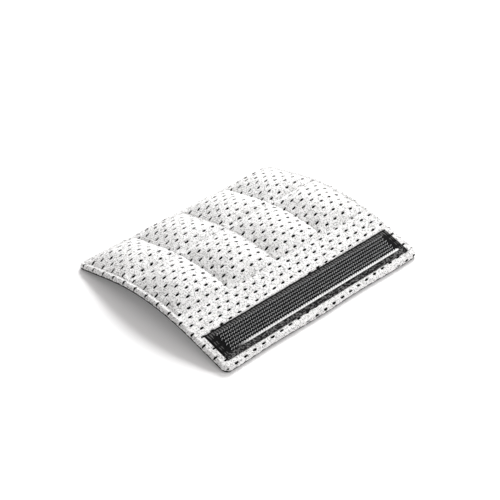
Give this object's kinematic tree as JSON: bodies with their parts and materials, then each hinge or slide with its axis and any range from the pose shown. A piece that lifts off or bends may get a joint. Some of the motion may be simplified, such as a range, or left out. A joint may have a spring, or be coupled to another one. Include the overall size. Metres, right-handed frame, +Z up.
{
  "type": "chair armrest pad",
  "caption": "Quilted white mesh pad that wraps round a chair armrest, with hook tape along one edge and loop tape inside the other.",
  "frame": {"origin": "on the surface under the middle of the pad, as it rests on its two long edges", "axes": "+X along the hook tape, +Y from the flap with the hook tape to the back edge, +Z up, out of the quilted face"},
  "size_m": [0.124, 0.1036, 0.0157],
  "materials": {
    "spacer_mesh": "white air mesh with small dark holes",
    "lining": "fine black knit",
    "wadding": "soft fibre filling",
    "tape_base": "black woven nylon",
    "hooks": "black nylon hooks with a soft sheen",
    "loop_pile": "brushed black loop pile"
  },
  "bodies": {
    "front_row": {"lining_front_row": "lining", "mesh_cover_front_row": "spacer_mesh", "wadding_front_1": "wadding", "wadding_front_2": "wadding", "wadding_front_3": "wadding", "wadding_front_4": "wadding"},
    "flap": {"lining_flap": "lining", "mesh_cover_flap": "spacer_mesh", "hook_tape_base": "tape_base", "hook_row_1": "hooks", "hook_row_2": "hooks", "hook_row_3": "hooks", "hook_row_4": "hooks", "hook_row_5": "hooks", "hook_row_6": "hooks", "hook_row_7": "hooks"},
    "back_row": {"lining_back_row": "lining", "mesh_cover_back_row": "spacer_mesh", "wadding_back_1": "wadding", "wadding_back_2": "wadding", "wadding_back_3": "wadding", "wadding_back_4": "wadding", "loop_tape_base": "tape_base", "loop_tape_pile": "loop_pile"}
  },
  "joints": [
    {"name": "flap_fold", "type": "hinge", "parent": "front_row", "child": "flap", "pos_m": [0, -0.01793, 0.00805], "axis": [1, 0, 0], "range_deg": [-15, 115], "stiffness_Nm_per_rad": 0.03},
    {"name": "row_fold", "type": "hinge", "parent": "front_row", "child": "back_row", "pos_m": [0, 0.01694, 0.0082], "axis": [-1, 0, 0], "range_deg": [-15, 85], "stiffness_Nm_per_rad": 0.03}
  ]
}
